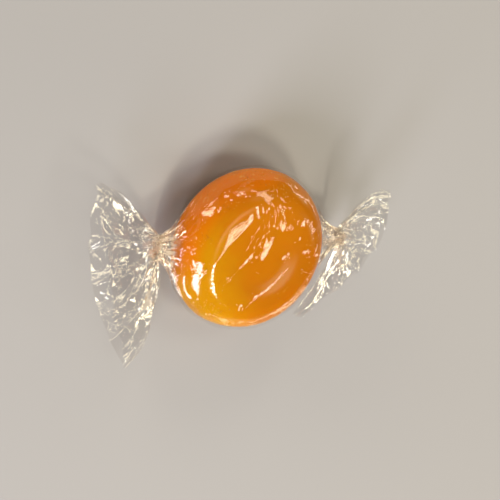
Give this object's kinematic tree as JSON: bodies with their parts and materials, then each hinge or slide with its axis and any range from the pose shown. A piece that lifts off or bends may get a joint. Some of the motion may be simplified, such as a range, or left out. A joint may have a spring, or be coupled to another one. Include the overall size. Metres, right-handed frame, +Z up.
{
  "type": "butterscotch candy",
  "caption": "Round amber boiled sweet with a shallow dish in its upper face, in a clear film wrapper twisted shut at both sides.",
  "frame": {"origin": "under the middle of the disc, on the flat underside that the sweet lies on", "axes": "+X along the twist axis from one tail to the other, +Z up through the disc's faces"},
  "size_m": [0.0567, 0.0326, 0.0123],
  "materials": {
    "butterscotch": "glassy boiled sugar, translucent amber",
    "clear_film": "clear glossy film, creased"
  },
  "bodies": {
    "root": {"candy_disc": "butterscotch", "wrapper": "clear_film"}
  },
  "joints": []
}
